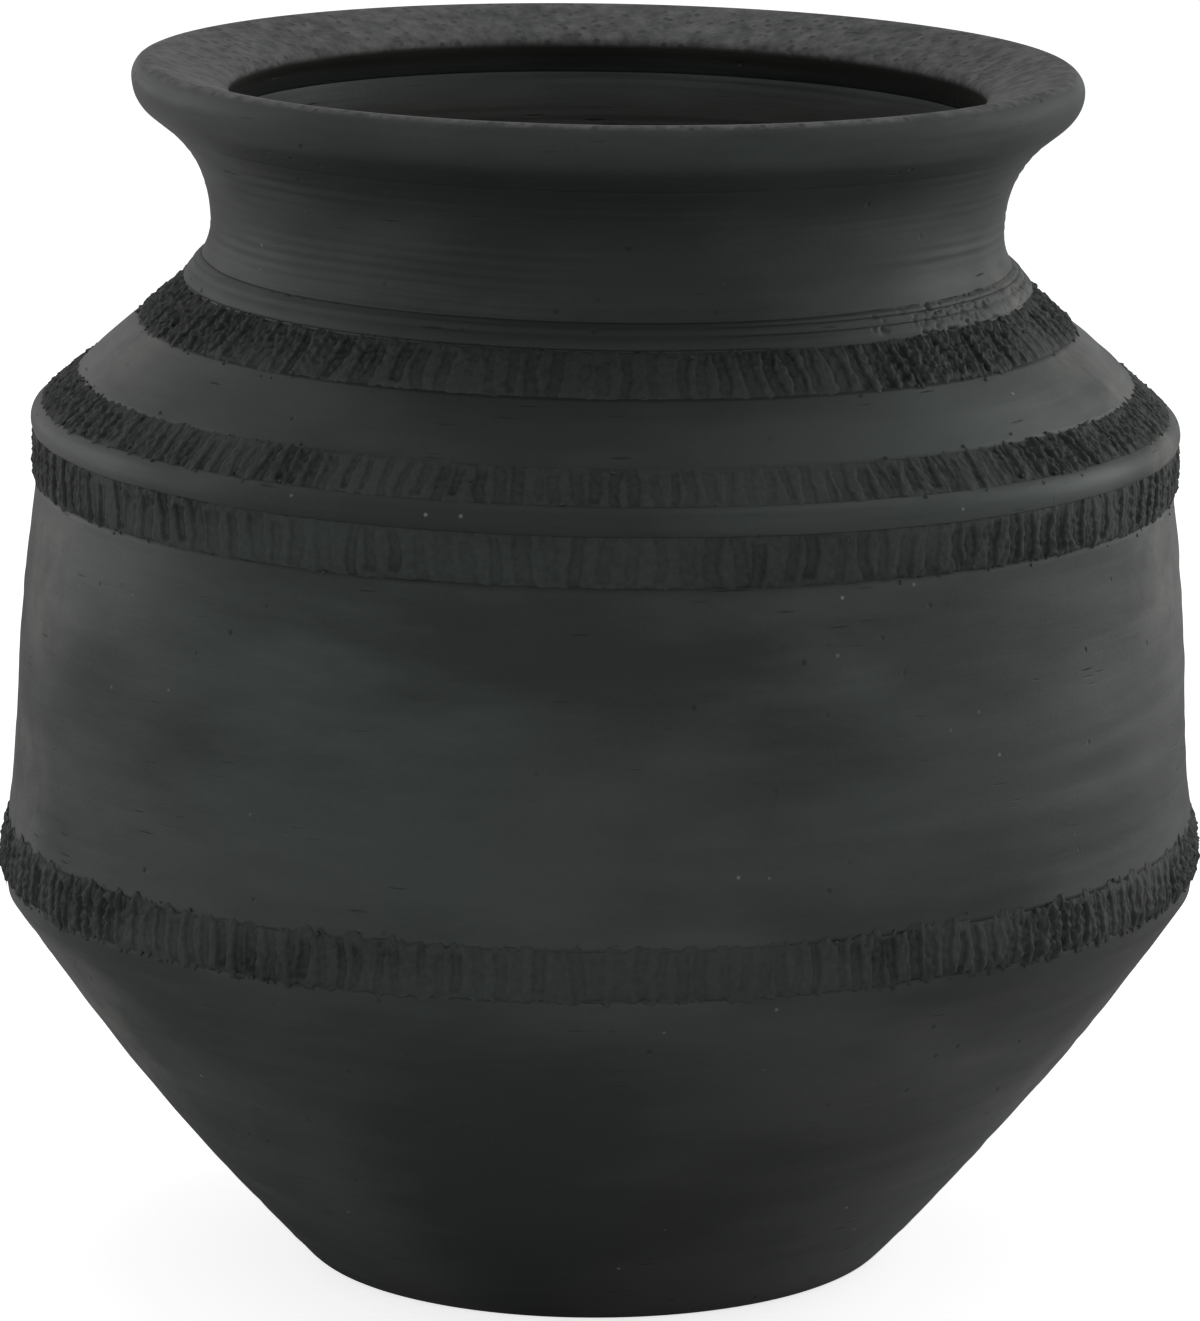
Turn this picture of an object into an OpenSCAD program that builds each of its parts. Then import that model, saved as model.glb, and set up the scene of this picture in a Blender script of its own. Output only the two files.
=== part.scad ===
// Black clay pot with a flared neck, a sharp keel and four combed bands.
// Millimetres, +Z up. The origin is the middle of the face that the pot rests on.
// Each node is one piece of clay as it was formed, before it was luted to the next:
// the wall pieces meet face to face on slanted joints, and the bands lie in shallow seats.

/* [Heights, each counted from the one below] */
// From the resting face to the keel, the widest place
keel_h = 103; // [98:1:108]
// From the keel to the shoulder ridge
belly_h = 110; // [104:1:116]
// From the shoulder ridge to the foot of the neck
shoulder_h = 38.5; // [36:0.5:42]
// From the foot of the neck to the crease under the lip
neck_h = 36.5; // [34:0.5:40]
// From the crease under the lip to its crest
lip_h = 17; // [15:0.5:20]

/* [Diameters of the outside] */
// Flat resting face
foot_d = 141; // [130:1:150]
// Keel, without its band
keel_d = 302; // [296:1:308]
// Waist, just above the middle of the belly
waist_d = 294.6; // [290:0.2:298]
// Top of the belly, under the edge band
edge_d = 286; // [282:1:290]
// Shoulder ridge
ridge_d = 288.6; // [287:0.2:292]
// Foot of the neck
neck_root_d = 207.5; // [203:0.5:212]
// Narrowest place of the neck
throat_d = 199; // [194:1:203]
// Crease under the lip
crease_d = 219.6; // [215:0.2:224]
// Lip, across its outermost edge
lip_d = 238; // [233:1:243]
// Crest of the lip
crest_d = 232; // [228:1:233]
// Inner edge of the lip
mouth_d = 188; // [184:1:192]

/* [Clay] */
// Thickness of the walls
wall_t = 6.5; // [5:0.5:8]
// Thickness of the floor
floor_t = 9; // [7:0.5:11]
// Rounding between the resting face and the lower wall
foot_round = 6; // [4:0.5:8]
// How far the lower wall bulges from a straight cone
cone_bulge = 2.6; // [0.4:0.2:4]
// How far along the wall each slanted joint runs from outside to inside
scarf = 5; // [2:0.5:7]

/* [Combed bands] */
// Depth of the seat that a band is pressed into
seat_depth = 1.2; // [0.8:0.1:1.5]
// Width of the neck band along the shoulder
neck_band_w = 14; // [12:0.5:16]
// Width of the shoulder band along the shoulder
shoulder_band_w = 11; // [9:0.5:12]
// Height of the edge band
edge_band_h = 12.3; // [10:0.1:13]
// Height of the keel band
keel_band_h = 11.5; // [10:0.1:14]
// How far the two upper bands stand out of the wall
upper_proud = 0.5; // [0.3:0.1:1]
// How far the edge band stands out
edge_proud = 0.9; // [0.5:0.1:1.4]
// How far the keel band stands out at its lower edge
keel_proud = 1.4; // [0.8:0.1:2]

/* [Hidden] */
clay = [0.20, 0.21, 0.21];
matt_clay = [0.13, 0.14, 0.14];
ROUND = 180;          // facets of a full turn in the quick preview
ARC_STEPS = 8;        // straight pieces in a rounded stretch of an outline

// ---- small turns of the outline
foot_turn = 47;       // angle that the rounded foot turns through
waist_share = 0.42;   // place of the waist, as a share of the belly's height
throat_share = 0.4;   // place of the throat, as a share of the neck's height
nose_h = 5.5;         // height of the blunt nose under the keel band
nose_run = 0.7;       // how far the nose runs out over that height
keel_lean = 0.8;      // how far the wall leans in behind the keel band
edge_lean = 0.4;      // how far the wall leans out behind the edge band
ridge_foot = 1.3;     // the ridge starts this far under its widest place
ridge_rise = 5.6;     // and ends this far above it
ridge_run = 3.2;      // and this far in
collar_reach = 2.6;   // how far the collar reaches down the shoulder
collar_rise = 4;      // and up the neck
collar_run = 2.1;     // how much narrower the neck is there
band_gap = 1;         // bare wall between the collar and the neck band

// ---- heights of the stations
ridge_z = keel_h + belly_h;
neck_z = ridge_z + shoulder_h;
crease_z = neck_z + neck_h;
pot_h = crease_z + lip_h;
band_low_z = keel_h - 1;

// ---- outlines are lists of [radius, height]
// Points along an arc from a to b. It bulges by sag to the right of the way from a to b.
function arc_points(a, b, sag) =
    let (chord = norm(b - a), along = (b - a) / chord, out = [along.y, -along.x],
         r = (chord * chord / 4 + sag * sag) / (2 * sag), half = asin(chord / 2 / r),
         centre = (a + b) / 2 + (sag - r) * out)
    [for (i = [0:ARC_STEPS])
        let (t = half * (2 * i / ARC_STEPS - 1)) centre + r * (cos(t) * out + sin(t) * along)];

// The point a share s of the way from a to b, moved out by d square to that line.
function beside(a, b, s, d) =
    let (along = (b - a) / norm(b - a)) a + s * (b - a) + d * [along.y, -along.x];

// ---- outside of the walls
foot_edge = [foot_d / 2, 0];
cone_start = foot_edge + foot_round * [sin(foot_turn), 1 - cos(foot_turn)];
keel_low = [keel_d / 2, band_low_z];
keel_top = keel_low + [-keel_lean, keel_band_h];
cone_end = keel_low - [nose_run, nose_h];
waist = [waist_d / 2, keel_h + waist_share * belly_h];
edge_top = [edge_d / 2 + edge_lean, ridge_z - ridge_foot];
edge_low = edge_top - [edge_lean, edge_band_h];
slope_low = [ridge_d / 2 - ridge_run, ridge_z + ridge_rise];
slope_top = [neck_root_d / 2, neck_z];
throat = [throat_d / 2, neck_z + throat_share * neck_h];
crease = [crease_d / 2, crease_z];

// ---- places of the two bands on the shoulder, as shares of its slope
slope_len = norm(slope_top - slope_low);
shoulder_band_to = shoulder_band_w / slope_len;
neck_band_to = 1 - (collar_reach + band_gap) / slope_len;
neck_band_from = neck_band_to - neck_band_w / slope_len;

function on_slope(s, d) = beside(slope_low, slope_top, s, d);
function on_keel(s, d) = beside(keel_low, keel_top, s, d);
function on_edge(s, d) = beside(edge_low, edge_top, s, d);

// ---- inside of the walls
cove = 2.3;           // rounding where the wall meets the floor
floor_joint_out = foot_edge - [5, 0];
floor_joint_in = [foot_d / 2 - 1, floor_t];
cove_top = floor_joint_in + [cove + 1, cove];
keel_in = [keel_d / 2 - wall_t - 1, keel_h + 1 - scarf];
waist_in = waist - [wall_t, 0];
ridge_in = [edge_d / 2 - wall_t, ridge_z - 3 - scarf];
bend_in = slope_low - [wall_t, wall_t] * 0.8;
neck_in = [throat_d / 2 - wall_t + 3.2, neck_z + 1.5 - scarf];
throat_in = throat - [wall_t - 1.2, 0];
crease_in = [mouth_d / 2 + 3, crease_z + 1];

// ---- the lip: a thick roll with a broad top that falls inwards
lip_fall = 7.7;       // from the crest down to the inner edge
crest = [crest_d / 2, pot_h];
lip_under = crease + [4.9, 3.8];
lip_side = [lip_d / 2, crease_z + 0.7 * lip_h];
lip_break = [(crest_d + mouth_d) / 4, pot_h - 0.4 * lip_fall];
lip_inner = [mouth_d / 2, pot_h - lip_fall];
lip_seat = beside(crease, crease_in, 0.5, -2);

// ---- joints under the keel band, under the shoulder ridge and under the neck collar
keel_joint = on_keel(0.45, -seat_depth);
ridge_joint = [edge_d / 2 - 0.4, ridge_z + 0.6];
collar_low = on_slope(1 - collar_reach / slope_len, 0);
collar_top = slope_top + [-collar_run, collar_rise];
collar_joint = slope_top - [1.4, 0.4];

// A ring with a given outline.
module ring(outline) rotate_extrude($fn = ROUND) polygon(outline);

// A strip of rough clay: two corners in its seat, two where it leaves the wall, and the two ends of its face,
// which stand proud and are eased over 6% of the width.
module band(seat_low, wall_low, face_low, face_high, wall_high, seat_high) {
    color(matt_clay) ring([seat_low, wall_low, beside(face_low, face_high, 0.06, 0),
                           beside(face_low, face_high, 0.94, 0), wall_high, seat_high]);
}

module foot_disc() {
    color(clay) ring([[0, 0], floor_joint_out, floor_joint_in, [0, floor_t]]);
}

module lower_wall() {
    color(clay) ring(concat(
        [floor_joint_out],
        arc_points(foot_edge, cone_start, foot_round * (1 - cos(foot_turn / 2))),
        arc_points(cone_start, cone_end, cone_bulge),
        [keel_low, on_keel(0, -seat_depth), keel_joint],
        arc_points(keel_in, cove_top, -cone_bulge),
        [floor_joint_in]));
}

module belly_wall() {
    color(clay) ring(concat(
        [keel_joint, on_keel(1, -seat_depth), keel_top],
        arc_points(keel_top + [-0.4, 2], waist, -0.6),
        arc_points(waist, edge_low, 0.9),
        [on_edge(0, -seat_depth), on_edge(1, -seat_depth), ridge_joint],
        arc_points(ridge_in, waist_in, -0.9),
        [keel_in]));
}

module shoulder_wall() {
    color(clay) ring(concat(
        [ridge_joint, on_slope(0, -seat_depth), on_slope(shoulder_band_to, -seat_depth)],
        arc_points(on_slope(shoulder_band_to, 0), on_slope(neck_band_from, 0), 0.4),
        [on_slope(neck_band_from, -seat_depth), on_slope(neck_band_to, -seat_depth),
         on_slope(neck_band_to, 0), collar_low, collar_joint],
        arc_points(neck_in, bend_in, -0.6),
        arc_points(bend_in, ridge_in, -1.2)));
}

module neck_wall() {
    color(clay) ring(concat(
        [collar_joint],
        arc_points(collar_top, throat, -0.9),
        arc_points(throat, crease, -2.6),
        [lip_seat],
        arc_points(crease_in, throat_in, 0.8),
        arc_points(throat_in, neck_in, 0.6)));
}

module lip_roll() {
    color(clay) ring(concat(
        [crease],
        arc_points(lip_under, lip_side, 1.1),
        arc_points(lip_side, crest, 0.9),
        arc_points(crest, lip_break, 0.5),
        arc_points(lip_break, lip_inner, 0.5),
        [crease_in, lip_seat]));
}

// A thin coil pressed over the joint of neck and shoulder, with two turned grooves in its face.
module neck_collar() {
    face_low = collar_low + [0.8, 1.2];
    face_high = collar_top + [0.4, 0.5];
    color(clay) difference() {
        ring(concat([collar_low], arc_points(face_low, face_high, 0.5), [collar_top, collar_joint]));
        for (share = [0.32, 0.7])
            rotate_extrude($fn = ROUND)
                translate(beside(face_low, face_high, share, 0.55)) circle(r = 0.45, $fn = 24);
    }
}

// A smooth coil laid in the corner where the shoulder meets the belly.
module shoulder_ridge() {
    widest = [ridge_d / 2, ridge_z + 0.5];
    color(clay) ring(concat(
        [on_edge(1, -seat_depth)],
        arc_points(edge_top + [0.2, 0], widest, 0.1),
        arc_points(widest, slope_low, 1.1),
        [on_slope(0, -seat_depth), ridge_joint]));
}

module neck_band() {
    from = neck_band_from;
    to = neck_band_to;
    band(on_slope(from, -seat_depth), on_slope(from, 0), on_slope(from, upper_proud),
         on_slope(to, upper_proud), on_slope(to, 0), on_slope(to, -seat_depth));
}

module shoulder_band() {
    to = shoulder_band_to;
    band(on_slope(0, -seat_depth), on_slope(0, 0), on_slope(0, upper_proud),
         on_slope(to, upper_proud), on_slope(to, 0), on_slope(to, -seat_depth));
}

module edge_band() {
    band(on_edge(0, -seat_depth), on_edge(0, 0), on_edge(0, edge_proud),
         on_edge(1, edge_proud * 0.7), on_edge(1, 0), on_edge(1, -seat_depth));
}

module keel_band() {
    band(on_keel(0, -seat_depth), on_keel(0, 0), on_keel(0, keel_proud),
         on_keel(1, keel_proud * 0.5), on_keel(1, 0), on_keel(1, -seat_depth));
}

foot_disc();
lower_wall();
belly_wall();
shoulder_wall();
neck_wall();
lip_roll();
neck_collar();
shoulder_ridge();
neck_band();
shoulder_band();
edge_band();
keel_band();
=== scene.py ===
# %% [markdown]
# # A black clay pot
# The pot is built from lumps of clay: a foot, four walls, a rolled lip, and strips and coils laid over the
# joints. The frame holds each of them as a plain solid of the right size. Each one is modelled again here
# with the marks of the hand, and rides on the frame in its place.

# %% Load the frame
import math
import random

import bmesh
import bpy
from mathutils import Matrix, Vector, noise


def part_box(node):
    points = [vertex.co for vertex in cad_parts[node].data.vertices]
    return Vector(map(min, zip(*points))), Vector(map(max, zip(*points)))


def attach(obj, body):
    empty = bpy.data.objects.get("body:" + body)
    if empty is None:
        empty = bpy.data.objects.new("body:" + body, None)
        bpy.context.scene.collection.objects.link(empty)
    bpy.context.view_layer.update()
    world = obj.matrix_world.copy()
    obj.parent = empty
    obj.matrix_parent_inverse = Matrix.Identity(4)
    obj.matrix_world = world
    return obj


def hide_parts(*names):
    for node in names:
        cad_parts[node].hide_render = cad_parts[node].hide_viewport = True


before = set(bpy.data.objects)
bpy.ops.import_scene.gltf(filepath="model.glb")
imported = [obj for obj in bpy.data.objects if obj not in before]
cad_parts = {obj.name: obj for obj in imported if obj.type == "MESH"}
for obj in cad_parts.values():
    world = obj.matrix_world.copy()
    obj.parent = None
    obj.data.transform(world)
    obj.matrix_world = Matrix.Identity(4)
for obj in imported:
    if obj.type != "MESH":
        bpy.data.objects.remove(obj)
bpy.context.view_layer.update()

MM = 0.001
print("the frame holds", sorted(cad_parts))

# %% [markdown]
# ## Heights to work from
# Every height and radius comes from the frame's own boxes, so the pot keeps its size if the design changes.
# A ring's box gives its lowest and highest place, and half its width is its widest radius.


# %% Measure the frame
def low(node):
    """Height of a node's lowest point."""
    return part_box(node)[0].z


def high(node):
    """Height of a node's highest point."""
    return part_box(node)[1].z


def widest(node):
    """Largest radius of a node."""
    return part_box(node)[1].x


POT_TOP = high("lip_roll")
NECK_FOOT = low("neck_collar")
EDGE_TOP = high("edge_band")
KEEL_TOP = high("keel_band")
LEAN = 3.6 * MM  # how far the mouth stands to the right of the foot
TILT = 0.0165  # slope of the upper part, in radians, left side up
print("pot is", round(POT_TOP / MM), "mm tall and", round(2 * widest("keel_band") / MM), "mm wide")

# %% [markdown]
# ## Camera
# The pot is seen from a little above and from far away, through a long lens, so its round edges look like
# flat ellipses. The camera stands in front and looks at a point inside the belly.

# %% Camera
AIM = Vector((-0.0003, 0, 0.1519))  # point inside the belly that is in the middle of the view
CAMERA_PLACE = (0, -1.897, 0.5551)
LENS = 208.5  # millimetres, on a sensor 36 mm wide
camera_data = bpy.data.cameras.new("camera")
camera_data.lens = LENS
camera_data.sensor_width = 36
camera_data.clip_end = 50
camera = bpy.data.objects.new("camera", camera_data)
camera.location = CAMERA_PLACE
camera.rotation_euler = (AIM - camera.location).to_track_quat("-Z", "Y").to_euler()
bpy.context.scene.collection.objects.link(camera)
bpy.context.scene.camera = camera
print("camera is", round((camera.location - AIM).length, 3), "m from the pot")

# %% [markdown]
# ## Light
# Black clay shows its shape by what it reflects. Two tall soft boxes stand at the sides and a little behind,
# and draw bright edges down the pot, the right one more strongly. A broad one above lights the shoulder and
# the lip, and the front stays dark. The rest of the room is a soft grey that grows dimmer overhead, but it is
# white where the camera looks past the pot.


# %% Soft boxes and world
def soft_box(name, place, target, width, height, power):
    """A rectangular lamp at a place, facing a target."""
    data = bpy.data.lights.new(name, "AREA")
    data.shape = "RECTANGLE"
    data.size = width
    data.size_y = height
    data.energy = power
    lamp = bpy.data.objects.new(name, data)
    lamp.location = place
    lamp.rotation_euler = (Vector(target) - Vector(place)).to_track_quat("-Z", "Y").to_euler()
    bpy.context.scene.collection.objects.link(lamp)


MIDDLE = (0, 0, POT_TOP / 2)
soft_box("left_rim", (-1.2, 0.5, 0.5), MIDDLE, 0.9, 1.3, 2.3)
soft_box("right_rim", (1.2, 0.5, 0.5), MIDDLE, 0.9, 1.3, 5.5)
soft_box("top_box", (0, 0.3, 1.5), MIDDLE, 1.4, 1.2, 2.8)

# How bright the room is: from just above level to well overhead, it falls from one strength to the other
ROOM_LIGHT = {"From Min": 0.1, "From Max": 0.6, "To Min": 0.68, "To Max": 0.36}
world = bpy.data.worlds.new("studio")
world.use_nodes = True
bpy.context.scene.world = world
world_tree = world.node_tree
background = world_tree.nodes["Background"]
background.inputs["Color"].default_value = (1, 1, 1, 1)
direction = world_tree.nodes.new("ShaderNodeTexCoord")
upwards = world_tree.nodes.new("ShaderNodeSeparateXYZ")
room = world_tree.nodes.new("ShaderNodeMapRange")
for name, value in ROOM_LIGHT.items():
    room.inputs[name].default_value = value
seen = world_tree.nodes.new("ShaderNodeLightPath")
dimmer = world_tree.nodes.new("ShaderNodeMix")
dimmer.inputs["B"].default_value = 1.0
world_tree.links.new(direction.outputs["Generated"], upwards.inputs["Vector"])
world_tree.links.new(upwards.outputs["Z"], room.inputs["Value"])
world_tree.links.new(room.outputs["Result"], dimmer.inputs["A"])
world_tree.links.new(seen.outputs["Is Camera Ray"], dimmer.inputs["Factor"])
world_tree.links.new(dimmer.outputs["Result"], background.inputs["Strength"])
bpy.context.scene.view_settings.view_transform = "Standard"

# %% [markdown]
# ## Shader maths
# A material's pattern is arithmetic on a few noise textures. Wrapped in a class with +, - and *, it reads as
# arithmetic here too, and each operation adds one Math node. One method adds any other node.


# %% The Wire class
class Wire:
    """One output socket in a material. Numbers and other wires can be added to it, taken off it and so on."""

    def __init__(self, socket):
        self.socket = socket

    def node(self, kind, settings=None, sockets=None, output=0):
        """Adds a node beside this wire: its settings first, then the values or wires of its sockets."""
        tree = self.socket.id_data
        made = tree.nodes.new(kind)
        for name, value in (settings or {}).items():
            setattr(made, name, value)
        for name, value in (sockets or {}).items():
            if isinstance(value, Wire):
                tree.links.new(value.socket, made.inputs[name])
            else:
                made.inputs[name].default_value = value
        return Wire(made.outputs[output])

    def maths(self, operation, first, second):
        return self.node("ShaderNodeMath", {"operation": operation}, {0: first, 1: second})

    def __add__(self, other):
        return self.maths("ADD", self, other)

    def __radd__(self, other):
        return self.maths("ADD", other, self)

    def __sub__(self, other):
        return self.maths("SUBTRACT", self, other)

    def __rsub__(self, other):
        return self.maths("SUBTRACT", other, self)

    def __mul__(self, other):
        return self.maths("MULTIPLY", self, other)

    def __rmul__(self, other):
        return self.maths("MULTIPLY", other, self)

    def between(self, start, end):
        """0 where this wire is under start, 1 where it is over end, and a ramp between them."""
        values = {"Value": self, "From Min": start, "From Max": end}
        return self.node("ShaderNodeMapRange", {"clamp": True}, values)

    def stretched(self, scale):
        """These coordinates, scaled along each axis."""
        return self.node("ShaderNodeMapping", {}, {"Vector": self, "Scale": scale})

    def noise(self, size, detail=3, rough=0.5):
        """Cloudy noise from 0 to 1 whose lumps are about size metres across."""
        values = {"Vector": self, "Scale": 1 / size, "Detail": detail, "Roughness": rough}
        return self.node("ShaderNodeTexNoise", {"normalize": True}, values)

    def cells(self, size):
        """Distance to the nearest of many scattered points, about size metres apart."""
        return self.node("ShaderNodeTexVoronoi", {}, {"Vector": self, "Scale": 1 / size})

    def distance(self, point):
        """Distance of these coordinates from a point, in metres."""
        return self.node("ShaderNodeVectorMath", {"operation": "DISTANCE"}, {0: self, 1: point}, 1)

    def mixed(self, first, second):
        """The first colour where this wire is 0 and the second where it is 1."""
        return self.node("ShaderNodeMix", {"data_type": "RGBA"}, {"Factor": self, 6: first, 7: second}, 2)


def start_material(name):
    """A new material, its shader node, and a wire with the piece's own coordinates in metres."""
    material = bpy.data.materials.new(name)
    material.use_nodes = True
    tree = material.node_tree
    shader = tree.nodes["Principled BSDF"]
    coordinates = tree.nodes.new("ShaderNodeTexCoord")
    return material, shader, Wire(coordinates.outputs["Object"])


def feed(shader, name, wire):
    """Connects a wire to one of the shader's sockets."""
    shader.id_data.links.new(wire.socket, shader.inputs[name])


SHINE = (0.92, 1.0, 0.97, 1)  # what the clay reflects is slightly green
RELIEF_DEPTH = 0.4 * MM


def finish_clay(shader, clay, roughness, relief, strength):
    """Gives the shader its colour, roughness and relief, and the shine that both clays share."""
    bump = {"Strength": strength, "Distance": RELIEF_DEPTH, "Height": relief}
    feed(shader, "Base Color", clay)
    feed(shader, "Roughness", roughness)
    feed(shader, "Normal", relief.node("ShaderNodeBump", {}, bump))
    shader.inputs["Specular Tint"].default_value = SHINE


def read_painted_light(place):
    """Painted shade in the comb strokes and pits, painted highlights on crumbs and paleness where bands are
    worn, which the combed pieces and the collar carry at each vertex.
    """
    return place.node("ShaderNodeAttribute", {"attribute_name": "scored"}, {}, 2)


print("a wire's methods:", [name for name in vars(Wire) if not name.startswith("_")])

# %% [markdown]
# ## Burnished clay
# Barro negro turns black in a smoky kiln, and it shines where the potter rubs the half-dry clay with a stone.
# The rubbing leaves long level smears, some smoother and lighter than others, with hairline scratches in them
# and small pits where grains came out. So the colour, the roughness and the bump all read the same few masks.
# The colour also holds painted light: paler patches on the front and down both sides, and painted shade on
# the front's middle, in the pits and inside the mouth.


# %% Burnished clay material
# Middles of two patches of painted shade on the front middle of the pot, where the lamps leave it dark
FRONT_SHADE_SPOTS = ((0, -0.12, 0.235), (0.01, -0.11, 0.05))
TRIM_EDGE = 116 * MM  # radius of the lip's crest, from which its trimmed top slopes down inwards
TRIM_SLOPE = 0.35
DUST = (0.2, 0.2, 0.19, 1)  # colour of specks of dust
SIDE_LIGHT_TINT = (0.15, 0.146, 0.132, 1)  # pale warm grey of the painted light down both sides of the pot
# Middles and sizes of the patches of painted light down the left and right sides, where the side lamps catch
# the pot
SIDE_LIGHT_PATCHES = (
    ((0.118, -0.03, 0.236), 0.032),
    ((0.139, -0.04, 0.216), 0.022),
    ((0.141, -0.04, 0.188), 0.032),
    ((-0.14, -0.045, 0.185), 0.03),
    ((-0.146, -0.035, 0.128), 0.03),
    ((-0.12, -0.05, 0.074), 0.04),
    ((0.118, -0.04, 0.066), 0.03),
    ((-0.115, -0.03, 0.238), 0.022),
    ((0.103, -0.035, 0.251), 0.016),
)
# Middles of two patches on the front, left and right, that are smoother and painted paler: painted
# reflections of the lamps
RUBBED_AND_LIT = ((-0.066, -0.131, 0.172), (0.062, -0.133, 0.176))


def smokiness(place):
    """Where the smoke left the clay a warmer grey, from 0 to 1."""
    return place.noise(0.16, 3, 0.5).between(0.4, 0.62)


def front_shade(place):
    """1 in the middle of the two patches of painted shade on the front, 0 outside them."""
    first, second = (1 - place.distance(centre).between(0.02, 0.075) for centre in FRONT_SHADE_SPOTS)
    return first + second


def burnished_clay():
    """Clay burnished with a stone, trimmed on top of the lip and specked with dust, with painted light and
    shade in patches.
    """
    material, shader, place = start_material("burnished_clay")
    height = place.node("ShaderNodeSeparateXYZ", {}, {"Vector": place}, 2)
    right = place.node("ShaderNodeSeparateXYZ", {}, {"Vector": place}, 0)
    radius = place.stretched((1, 1, 0)).distance((LEAN / 2, 0, 0))
    patches = place.stretched((1, 1, 1.6)).noise(0.11, 2, 0.5).between(0.35, 0.65)
    smears = place.stretched((1, 1, 4)).noise(0.045, 5, 0.62)
    grain = place.noise(0.0011, 2, 0.6)
    streaks = place.stretched((1, 1, 30)).noise(0.03, 3, 0.6)
    mottle_and_painted_light = (patches * 0.45 + smears * 0.55).between(0.3, 0.72)
    # The two patches on the front are smoother, and their paler colour is a painted reflection of the lamps
    for centre in RUBBED_AND_LIT:
        rubbed_and_lit = 1 - place.distance(centre).between(0, 0.055)
        mottle_and_painted_light = mottle_and_painted_light + rubbed_and_lit * (smears * 1.6 - 0.35).between(0, 1)
    # Painted shade darkens the front middle, where the lamps leave the pot dark
    mottle_and_painted_light = mottle_and_painted_light - front_shade(place) * 0.75
    pits = 1 - place.cells(0.009).between(0.04, 0.1)
    pits = pits * place.noise(0.03).between(0.48, 0.58)
    nicks = 1 - place.stretched((0.3, 0.3, 3)).cells(0.006).between(0.05, 0.16)
    pits = pits + nicks * place.noise(0.025).between(0.52, 0.6)
    dust = (1 - place.cells(0.011).between(0.025, 0.055)) * place.noise(0.05).between(0.5, 0.6)

    # The pits, and the pits in the collar, are painted darker: painted shade
    tone = mottle_and_painted_light * 0.7 + (grain - 0.5) * 0.3 - pits * 0.4 - read_painted_light(place) * 0.6
    cool = tone.mixed((0.017, 0.0215, 0.020, 1), (0.052, 0.063, 0.059, 1))
    warm = tone.mixed((0.020, 0.0202, 0.0198, 1), (0.055, 0.056, 0.055, 1))
    clay = smokiness(place).mixed(cool, warm)

    # The inside of the neck and lip is painted darker and browner; the darkness is painted shade inside the
    # mouth
    inside = (1 - radius.between(0.0955, 0.097)) * height.between(NECK_FOOT - 4 * MM, NECK_FOOT)
    clay = inside.mixed(clay, tone.mixed((0.012, 0.012, 0.010, 1), (0.040, 0.039, 0.034, 1)))
    # Pale patches down both sides: painted light where the side lamps catch the pot
    light_patch_breakup = place.noise(0.02, 4, 0.65).between(0.35, 0.7)
    side_light = sum(1 - place.distance(centre).between(size * 0.3, size) for centre, size in SIDE_LIGHT_PATCHES)
    clay = ((side_light * light_patch_breakup).between(0, 1) * 0.85).mixed(clay, SIDE_LIGHT_TINT)

    chips = place.noise(0.005, 5, 0.68) - 0.35 * (1 - place.cells(0.0035).between(0.12, 0.3))
    trimmed = height + right * TILT - (radius - TRIM_EDGE) * TRIM_SLOPE
    trimmed = trimmed.between(POT_TOP - 2 * MM, POT_TOP - 0.8 * MM)
    trimmed = trimmed * place.noise(0.004, 2, 0.5).between(0.2, 0.5)
    rough_top = chips.between(0.34, 0.66).mixed((0.038, 0.039, 0.038, 1), (0.145, 0.145, 0.14, 1))
    clay = (trimmed * 0.85).mixed(clay, rough_top)
    clay = dust.mixed(clay, DUST)

    roughness = 0.6 - mottle_and_painted_light * 0.14 + (streaks - 0.5) * 0.1 + pits * 0.2 + trimmed * 0.15
    relief = grain * 0.15 + streaks * 0.2 + smears * 0.9 - pits * 1.3 + dust * 0.4 + trimmed * chips * 1.4
    finish_clay(shader, clay, roughness, relief, 0.5)
    return material


BURNISHED = burnished_clay()
print("made", BURNISHED.name)

# %% [markdown]
# ## Combed clay
# The bands were never rubbed. Their clay is torn and crumbly, so it is darker, quite matt, and full of grit.
# It is painted darkest where the comb cut deep, as painted shade in the grooves, and palest on the ridges
# that it left.


# %% Combed clay material
def combed_clay():
    """Torn clay, whose tone follows its grit, with painted shade in the strokes of the comb and on the front
    middle.
    """
    material, shader, place = start_material("combed_clay")
    grit = place.noise(0.0016, 3, 0.65)
    # Painted shade in the comb strokes and pits, and on the front middle
    tone = grit.between(0.3, 0.75) * 0.55 - read_painted_light(place) * 0.8 + 0.25 - front_shade(place) * 0.2
    cool = tone.mixed((0.007, 0.009, 0.0085, 1), (0.043, 0.052, 0.049, 1))
    warm = tone.mixed((0.008, 0.008, 0.008, 1), (0.046, 0.0465, 0.0455, 1))
    finish_clay(shader, smokiness(place).mixed(cool, warm), 0.6 + grit * 0.2, grit, 0.6)
    return material


COMBED = combed_clay()
print("made", COMBED.name)

# %% [markdown]
# ## The marks of the hand
# A pot built by hand isn't quite round or upright. This one leans a little, its upper part sits slightly
# askew, and its wall swells and sinks by less than a millimetre. All pieces take these from one function of
# place, so two pieces that meet still meet after it has moved them.

# %% Lean, swell and tilt
SWELL = 0.7 * MM


def ramp(value, start, end):
    """0 at start, 1 at end, and a smooth change between them."""
    share = min(max((value - start) / (end - start), 0), 1)
    return share * share * (3 - 2 * share)


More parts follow.
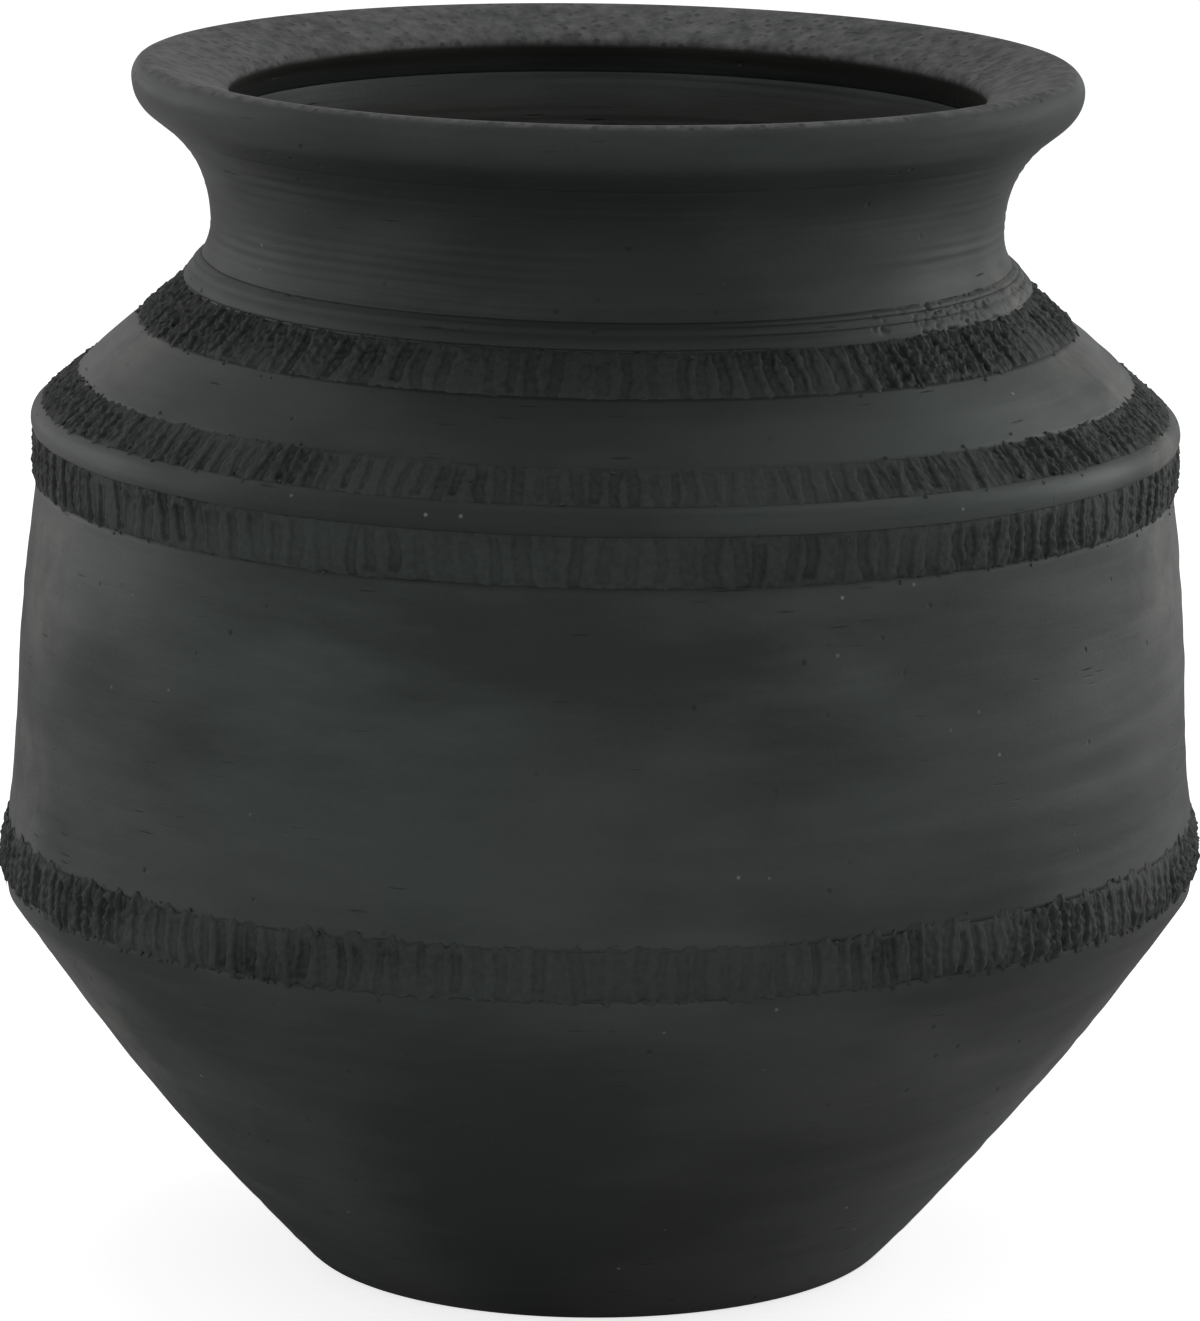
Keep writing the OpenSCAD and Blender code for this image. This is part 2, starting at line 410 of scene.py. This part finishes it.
def hand_formed(point):
    """Where a point of the ideal pot lies on the real one."""
    x, y, z = point
    wave = noise.noise(Vector((x, y, z * 1.6)) / 0.085) + 0.35 * noise.noise(Vector((x, y, z * 3)) / 0.03)
    radius = math.hypot(x, y)
    if radius > 1e-6:
        grow = 1 + SWELL * wave * ramp(z, 0.004, 0.03) * min(radius / 0.07, 1) / radius
        x *= grow
        y *= grow
    share = z / POT_TOP
    upper = ramp(z, KEEL_TOP + 0.03, EDGE_TOP)
    return Vector((x + LEAN * (share - 0.45), y, z - TILT * upper * x))


RIM = Vector((widest("lip_roll"), 0, POT_TOP))
print("the rim's right side moves", [round(part / MM, 1) for part in hand_formed(RIM) - RIM], "mm")

# %% [markdown]
# ## A wall from its section
# Each wall is a solid of revolution, so its section says everything. The section is cut out of the frame's
# own solid with a plane, its straight stretches are divided finely, the faint corners between them are
# smoothed away, and it is spun round the axis. A cut and a spin keep the piece at the size that the design
# gives.

# %% Cut a section and spin it
STEPS = 384  # slices round a wall
DOUBLINGS = 6
STRAIGHT = math.radians(0.3)  # a corner fainter than this only lies on a straight edge
SOFT = math.radians(12)  # and one fainter than this is smoothed away


def corner(vert):
    """Angle that the outline turns through at a vertex, or a right angle where it ends."""
    if len(vert.link_edges) != 2:
        return math.pi / 2
    first, second = (edge.other_vert(vert).co - vert.co for edge in vert.link_edges)
    return math.pi - first.angle(second)


def section(node):
    """The outline of a node on one side of the axis, as edges in the XZ plane."""
    mesh = bmesh.new()
    mesh.from_mesh(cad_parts[node].data)
    bmesh.ops.remove_doubles(mesh, verts=mesh.verts, dist=1e-6)
    for normal, only_the_cut in (((0, 1, 0), True), ((1, 0, 0), False)):
        everything = mesh.verts[:] + mesh.edges[:] + mesh.faces[:]
        bmesh.ops.bisect_plane(mesh, geom=everything, dist=1e-6, plane_co=(0, 0, 0), plane_no=normal,
                               clear_inner=True, clear_outer=only_the_cut)
    bmesh.ops.remove_doubles(mesh, verts=mesh.verts, dist=2e-5)
    straight = [vert for vert in mesh.verts if corner(vert) < STRAIGHT]
    bmesh.ops.dissolve_verts(mesh, verts=straight)
    return mesh


def divide(mesh, step, edges=None):
    """Cuts each edge of an outline, or each of the given edges, into equal pieces no longer than step."""
    for edge in edges or mesh.edges[:]:
        cuts = math.ceil(edge.calc_length() / step) - 1
        if cuts > 0:
            bmesh.ops.subdivide_edges(mesh, edges=[edge], cuts=cuts)


def ease(mesh, passes, eased=lambda place: False):
    """Smooths an outline, but holds its sharp corners unless eased says otherwise."""
    loose = [vert for vert in mesh.verts if corner(vert) < SOFT or eased(vert.co)]
    for _ in range(passes):
        bmesh.ops.smooth_vert(mesh, verts=loose, factor=0.5, use_axis_x=True, use_axis_z=True)


def spin(mesh, steps=STEPS):
    """Turns an outline into a closed ring. One slice is spun and then doubled, which is quick."""
    angle = math.tau / 2**DOUBLINGS
    bmesh.ops.spin(mesh, geom=mesh.verts[:] + mesh.edges[:], cent=(0, 0, 0), axis=(0, 0, 1), dvec=(0, 0, 0),
                   angle=angle, steps=round(steps / 2**DOUBLINGS), use_merge=False)
    for _ in range(DOUBLINGS):
        copy = bmesh.ops.duplicate(mesh, geom=mesh.verts[:] + mesh.edges[:] + mesh.faces[:])["geom"]
        verts = [item for item in copy if isinstance(item, bmesh.types.BMVert)]
        bmesh.ops.rotate(mesh, verts=verts, cent=(0, 0, 0), matrix=Matrix.Rotation(angle, 3, "Z"))
        angle *= 2
    bmesh.ops.remove_doubles(mesh, verts=mesh.verts, dist=2e-6)


def finish_piece(mesh, name, node, material, sharp=40):
    """Makes an object of a mesh, gives it its finish, and puts it in a node's place on the frame."""
    bmesh.ops.recalc_face_normals(mesh, faces=mesh.faces)
    for face in mesh.faces:
        face.smooth = True
    data = bpy.data.meshes.new(name)
    mesh.to_mesh(data)
    mesh.free()
    data.set_sharp_from_angle(angle=math.radians(sharp))
    data.materials.append(material)
    piece = bpy.data.objects.new(name, data)
    bpy.context.scene.collection.objects.link(piece)
    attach(piece, "root")
    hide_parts(node)
    print(name, "has", len(data.polygons), "faces")


lip_section = section("lip_roll")
print("the lip's section has", len(lip_section.verts), "corners")
lip_section.free()

# %% [markdown]
# ## Walls
# The walls need vertices close enough together to carry the swells and the throwing lines, but no closer. The
# throwing lines are ripples that a fingertip leaves in turning clay, so they are nearly level rings of uneven
# depth, strongest round the neck.


# %% Throwing lines and walls
NECK_TURNED = NECK_FOOT + 18 * MM  # the throwing lines grow deeper from here down to the neck's foot


def throwing_lines(point, pitch, depth):
    """A level ripple at a height, which wanders and fades round the pot."""
    x, y, z = point
    wander = 0.6 * noise.noise(Vector((x, y, z * 4)) / 0.07)
    uneven = max(0, 0.2 + 1.6 * noise.noise(Vector((x * 0.6, y * 0.6, z * 7)) / 0.05))
    return depth * uneven * math.sin(math.tau * z / pitch + 5 * wander)


def wall(node, name, step, pitch, depth, eased=lambda place: False, passes=6):
    """A wall of the pot, with throwing lines of that pitch and depth."""
    mesh = section(node)
    divide(mesh, step)
    ease(mesh, passes, eased)
    spin(mesh)
    for vert in mesh.verts:
        radius = math.hypot(vert.co.x, vert.co.y)
        deeper = 1 + 1.5 * ramp(vert.co.z, NECK_TURNED, NECK_FOOT)
        ripple = throwing_lines(vert.co, pitch, depth * deeper)
        if radius > 1e-6:
            vert.co.x *= 1 + ripple / radius
            vert.co.y *= 1 + ripple / radius
        vert.co = hand_formed(vert.co)
    finish_piece(mesh, name, node, BURNISHED)


wall("foot_disc", "foot_slab", 6 * MM, 5 * MM, 0)
wall("lower_wall", "cone_wall", 2 * MM, 7 * MM, 0.06 * MM)
wall("belly_wall", "belly", 2 * MM, 9 * MM, 0.05 * MM)
wall("shoulder_wall", "shoulder", 1.5 * MM, 6 * MM, 0.05 * MM)
wall("neck_wall", "neck", 0.8 * MM, 2.6 * MM, 0.12 * MM)
wall("shoulder_ridge", "ridge_coil", 0.8 * MM, 6 * MM, 0.05 * MM)

# %% [markdown]
# ## Collar
# The collar is a thin coil over the joint of neck and shoulder, turned while it was soft. A fingernail ran
# round it, but wandered and lost touch, so the grooves are clear in some places and worn away in others. Each
# vertex of the outline therefore carries a second, smoothed place, and the groove fades between the two.

# %% Collar
COLLAR_STEPS = 1152  # slices round the collar


def collar(node, name):
    """The collar, sunk a little and drawn out at its foot, with grooves that come and go."""
    mesh = section(node)
    bmesh.ops.remove_doubles(mesh, verts=mesh.verts, dist=0.2 * MM)
    divide(mesh, 0.45 * MM)
    start, end = low(node), high(node)
    for vert in mesh.verts:
        share = (vert.co.z - start) / (end - start)
        vert.co.x -= 0.8 * MM * math.sin(math.pi * share) + 0.5 * MM * ramp(share, 0.7, 1)
        vert.co += Vector((0.8, 0, -0.9)) * MM * ramp(share, 0.3, 0)
    smooth_place = mesh.verts.layers.float_vector.new("smooth_place")
    scored = mesh.verts.layers.float.new("scored")
    sharp = [vert.co.copy() for vert in mesh.verts]
    ease(mesh, 10, lambda place: True)
    for vert, place in zip(mesh.verts, sharp):
        vert[smooth_place] = vert.co
        vert.co = place
    spin(mesh, COLLAR_STEPS)
    for vert in mesh.verts:
        x, y, z = vert.co
        radius = math.hypot(x, y)
        side = x / radius
        worn = ramp(noise.noise(Vector((x, y, z * 6)) / 0.045) - 0.4 * side, -0.45, 0.1)
        smooth = vert[smooth_place]
        broken = ramp(noise.noise(vert.co / 0.025) + 0.5 * side, 0.2, 0.6)
        broken = max(broken, ramp(noise.noise(vert.co / 0.012), 0.3, 0.5))
        grains = noise.noise(vert.co / (1.8 * MM)) + 0.6 * noise.noise(vert.co / (0.9 * MM))
        grains = min(0, grains + 0.1)
        new_radius = radius + (smooth.x - radius) * worn + 1.1 * MM * broken * grains
        new_height = z + (smooth.z - z) * worn
        vert.co = hand_formed((x * new_radius / radius, y * new_radius / radius, new_height))
        # Painted shade in the pits that the grains dig
        vert[scored] = -1.2 * broken * grains
    finish_piece(mesh, name, node, BURNISHED)


collar("neck_collar", "neck_collar_coil")

# %% [markdown]
# ## Lip
# The lip is a thick roll. Its top was trimmed, so it is rougher than the wall, and its corners are only
# rubbed round. The joint under it stays crisp.

# %% Lip
LIP_JOINT = high("neck_wall") + 0.5 * MM
wall("lip_roll", "lip", 0.9 * MM, 4 * MM, 0.08 * MM, eased=lambda place: place.z > LIP_JOINT)

# %% [markdown]
# ## Combed bands
# A band is a strip of soft clay pressed into its seat and then scored with a coarse comb, stroke beside
# stroke. Every stroke has its own place, slant, bend, width and depth, from a seeded random source.
# The strokes tear the clay, so they throw up burrs beside them, and the strip's edges end ragged on the wall.

# %% Comb strokes
class Comb:
    """The strokes of one band, which lies at that radius, one every pitch metres."""

    def __init__(self, seed, radius, pitch):
        self.random = random.Random(seed)
        self.count = round(math.tau * radius / pitch)
        self.strokes = [self.draw(index) for index in range(self.count)]

    def draw(self, index):
        pick = self.random.uniform
        return {
            "place": index + pick(-0.2, 0.2),
            "slant": pick(-0.3, 0.3),
            "bend": pick(-1.0, 1.0),
            "width": pick(0.19, 0.36),
            "depth": pick(0.4, 1.0),
            "start": pick(-0.18, 0.1),
            "end": pick(0.86, 1.15),
        }

    def score(self, turn, share, wobble):
        """How deep the strokes cut and tear: turn goes once round, and share goes up the band."""
        here = turn * self.count + wobble
        nearest = round(here)
        cut = torn = 0
        for index in (nearest - 1, nearest, nearest + 1):
            stroke = self.strokes[index % self.count]
            centre = stroke["place"] + (index - index % self.count)
            drift = stroke["slant"] * (share - 0.5) + stroke["bend"] * (share - 0.5) ** 2
            across = abs(here - centre - drift) / stroke["width"]
            ends = ramp(share, stroke["start"], stroke["start"] + 0.09)
            ends *= 1 - ramp(share, stroke["end"] - 0.09, stroke["end"])
            side = max(0, 1 - abs(across - 0.85) / 0.35)
            tip = max(0, 1 - abs(share - stroke["start"] - 0.1) / 0.1) * (1 - ramp(across, 0.7, 1.1))
            cut = max(cut, stroke["depth"] * ends * (1 - ramp(across, 0.55, 1.15)))
            torn = max(torn, stroke["depth"] * ends * side, stroke["depth"] * tip)
        return cut, torn


print("a stroke in the middle of its band scores", Comb(1, 0.1, 6 * MM).score(0, 0.5, 0))

# %% [markdown]
# The strip starts as its section in the frame. Its outer face is divided finely and spun with many steps.
# Each vertex of the face is then pushed in by the strokes, further along both sides of a stroke where the
# comb tore the clay, and out by the burrs. The two borders are drawn out over the wall by a ragged amount and
# thinned. The front was handled most, so there the strip is lower, smoother and paler.

# %% Bands
BAND_STEPS = 2304  # slices round a band
FACE_STEP = 0.5 * MM
BORDER = 0.16  # share of the band's width that is drawn out over the wall
WORN_DOWN = 0.5  # share of a band's height over the wall that is lost where it is worn
WORN_PALE = 0.42  # how much paler the clay is there


def freshness(point):
    """How rough the combing still is at a place, from 0 where it is worn to 1: the front is worn most."""
    x, y, z = point
    side = abs(x) / math.hypot(x, y)
    back = ramp(y, -0.05, 0.1)
    patchy = 0.7 * noise.noise(Vector((x, y, z * 2)) / 0.03)
    return min(1, max(0.1, 0.12 + 0.95 * max(side**1.5, 0.5 * back) + patchy))


class Strip:
    """The strip of clay under a band: its seat's corners, its run up the wall and the wall's own surface."""

    def __init__(self, mesh):
        self.seat = max(mesh.edges, key=lambda edge: edge.calc_length())
        self.foot, top = sorted((vert.co.copy() for vert in self.seat.verts), key=lambda place: place.z)
        self.run = (top - self.foot).length
        self.along = (top - self.foot).normalized()
        self.out = Vector((self.along.z, 0, -self.along.x))
        self.wall_lift = sorted((vert.co - self.foot).dot(self.out) for vert in mesh.verts)[2]
        self.radius = (self.foot.x + top.x) / 2

    def locate(self, point):
        """Share of the way up the strip, and height over the seat."""
        place = Vector((math.hypot(point.x, point.y), 0, point.z)) - self.foot
        return place.dot(self.along) / self.run, place.dot(self.out)

    def place(self, angle, share, lift):
        """The point at that angle round the pot, share up the strip and height over the seat."""
        flat = self.foot + self.along * (share * self.run) + self.out * lift
        return Vector((math.cos(angle) * flat.x, math.sin(angle) * flat.x, flat.z))


def band(node, name, seed, pitch, depth, ragged, burr):
    """A combed strip, by the pitch and depth of its strokes, the reach of its borders and its burrs."""
    mesh = section(node)
    strip = Strip(mesh)
    comb = Comb(seed, strip.radius, pitch)
    divide(mesh, FACE_STEP, [edge for edge in mesh.edges if edge != strip.seat])
    spin(mesh, BAND_STEPS)
    scored = mesh.verts.layers.float.new("scored")
    for vert in mesh.verts:
        angle = math.atan2(vert.co.y, vert.co.x)
        share, lift = strip.locate(vert.co)
        if lift < strip.wall_lift - 0.01 * MM:
            continue
        fresh = freshness(vert.co)
        cut, torn = comb.score(angle / math.tau % 1, share, 0.1 * noise.noise(vert.co / (2.5 * MM)))
        grains = noise.noise(vert.co / (1.6 * MM)) + 0.7 * noise.noise(vert.co / (0.8 * MM))
        lift -= WORN_DOWN * (1 - fresh) * (lift - strip.wall_lift)
        lift += burr * fresh * fresh * grains - depth * (0.35 + 0.65 * fresh) * (0.75 * cut + 0.5 * torn)
        border = max(0, 1 - share / BORDER, 1 - (1 - share) / BORDER)
        ragged_by = 0.45 + noise.noise(vert.co / (2.6 * MM)) + 0.7 * noise.noise(vert.co / (1.1 * MM))
        reach = ragged * max(0.15, ragged_by) * (0.5 + 0.5 * fresh)
        lift -= border ** (1 + fresh) * (lift - strip.wall_lift + (0.05 + 0.07 * fresh) * MM)
        share += border * reach / strip.run * (1 if share > 0.5 else -1)
        vert.co = strip.place(angle, share, lift)
        # Painted shade in the grooves, along their torn sides and in the grain pits. The next line makes worn
        # clay paler.
        vert[scored] = (0.5 * cut + 0.7 * torn) * (0.3 + 0.7 * fresh) + 0.5 * fresh * max(0, -grains)
        vert[scored] -= WORN_PALE * (1 - fresh)
    for vert in mesh.verts:
        vert.co = hand_formed(vert.co)
    finish_piece(mesh, name, node, COMBED, 60)
    return strip


STRIPS = [
    band("neck_band", "neck_combing", 11, 5.6 * MM, 0.9 * MM, 2.2 * MM, 0.8 * MM),
    band("shoulder_band", "shoulder_combing", 12, 4.6 * MM, 0.9 * MM, 2.4 * MM, 0.8 * MM),
    band("edge_band", "edge_combing", 13, 6.2 * MM, 1.1 * MM, 1.8 * MM, 0.6 * MM),
    band("keel_band", "keel_combing", 14, 4.8 * MM, 1.2 * MM, 2.4 * MM, 0.9 * MM),
]

# %% [markdown]
# ## Crumbs
# Bits of clay that the comb tore off and that stuck again along the borders of the bands, and a few on them.
# There are many, so each is only a small lump of twenty faces, squashed and turned at random.

# %% Crumbs
CRUMBS_PER_METRE = 900


def crumbs(name, seed):
    """All the crumbs of the four bands, as one piece."""
    pick = random.Random(seed)
    mesh = bmesh.new()
    scored = mesh.verts.layers.float.new("scored")
    for strip in STRIPS:
        for _ in range(round(CRUMBS_PER_METRE * math.tau * strip.radius)):
            angle = pick.uniform(0, math.tau)
            share = pick.choice((pick.gauss(0, 0.08), pick.gauss(1, 0.08), pick.uniform(0, 1)))
            size = pick.uniform(0.4, 1.0) ** 2 * 0.75 * MM
            where = strip.place(angle, share, strip.wall_lift + 0.1 * size)
            if freshness(where) < pick.uniform(0.25, 1.0):
                continue
            width, depth, height = pick.uniform(0.7, 1.3), pick.uniform(0.7, 1.3), pick.uniform(0.6, 1.0)
            shape = Matrix.Diagonal((width, depth, height, 1))
            turn = pick.uniform(0, math.tau)
            turned = Matrix.Rotation(turn, 4, Vector((pick.random(), pick.random(), 1)))
            spot = Matrix.Translation(hand_formed(where)) @ turned @ shape
            # Most crumbs are painted paler, as painted highlights, and the rest a little darker
            tone = pick.uniform(-1.2, 0.4)
            for vert in bmesh.ops.create_icosphere(mesh, subdivisions=1, radius=size, matrix=spot)["verts"]:
                vert[scored] = tone
    for face in mesh.faces:
        face.smooth = True
    data = bpy.data.meshes.new(name)
    mesh.to_mesh(data)
    mesh.free()
    data.materials.append(COMBED)
    piece = bpy.data.objects.new(name, data)
    bpy.context.scene.collection.objects.link(piece)
    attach(piece, "root")
    print(name, "has", len(data.polygons), "faces")


crumbs("comb_crumbs", 21)

# %% [markdown]
# ## Floor
# A plain pale floor for the pot to stand on. It glows a little for the camera, so that it meets the white of
# the room without an edge, and it lights the pot only as pale paint would.


# %% Floor
FLOOR_HALF = 6  # metres
FLOOR_GLOW = 0.75


def floor():
    """The floor, which isn't part of the pot."""
    mesh = bmesh.new()
    bmesh.ops.create_grid(mesh, x_segments=2, y_segments=2, size=FLOOR_HALF)
    data = bpy.data.meshes.new("floor")
    mesh.to_mesh(data)
    mesh.free()
    material = bpy.data.materials.new("pale_floor")
    material.use_nodes = True
    tree = material.node_tree
    shader = tree.nodes["Principled BSDF"]
    shader.inputs["Base Color"].default_value = (0.8, 0.8, 0.8, 1)
    shader.inputs["Roughness"].default_value = 0.9
    shader.inputs["Emission Color"].default_value = (1, 1, 1, 1)
    shader.inputs["Emission Strength"].default_value = FLOOR_GLOW
    seen = Wire(tree.nodes.new("ShaderNodeLightPath").outputs["Is Camera Ray"])
    shade = seen.node("ShaderNodeBsdfDiffuse", {}, {"Color": (0.75, 0.75, 0.75, 1)})
    glowing = Wire(shader.outputs["BSDF"])
    mixed = seen.node("ShaderNodeMixShader", {}, {0: seen, 1: shade, 2: glowing})
    tree.links.new(mixed.socket, tree.nodes["Material Output"].inputs["Surface"])
    data.materials.append(material)
    made = bpy.data.objects.new("floor", data)
    bpy.context.scene.collection.objects.link(made)
    print("the floor is", 2 * FLOOR_HALF, "m across")


floor()
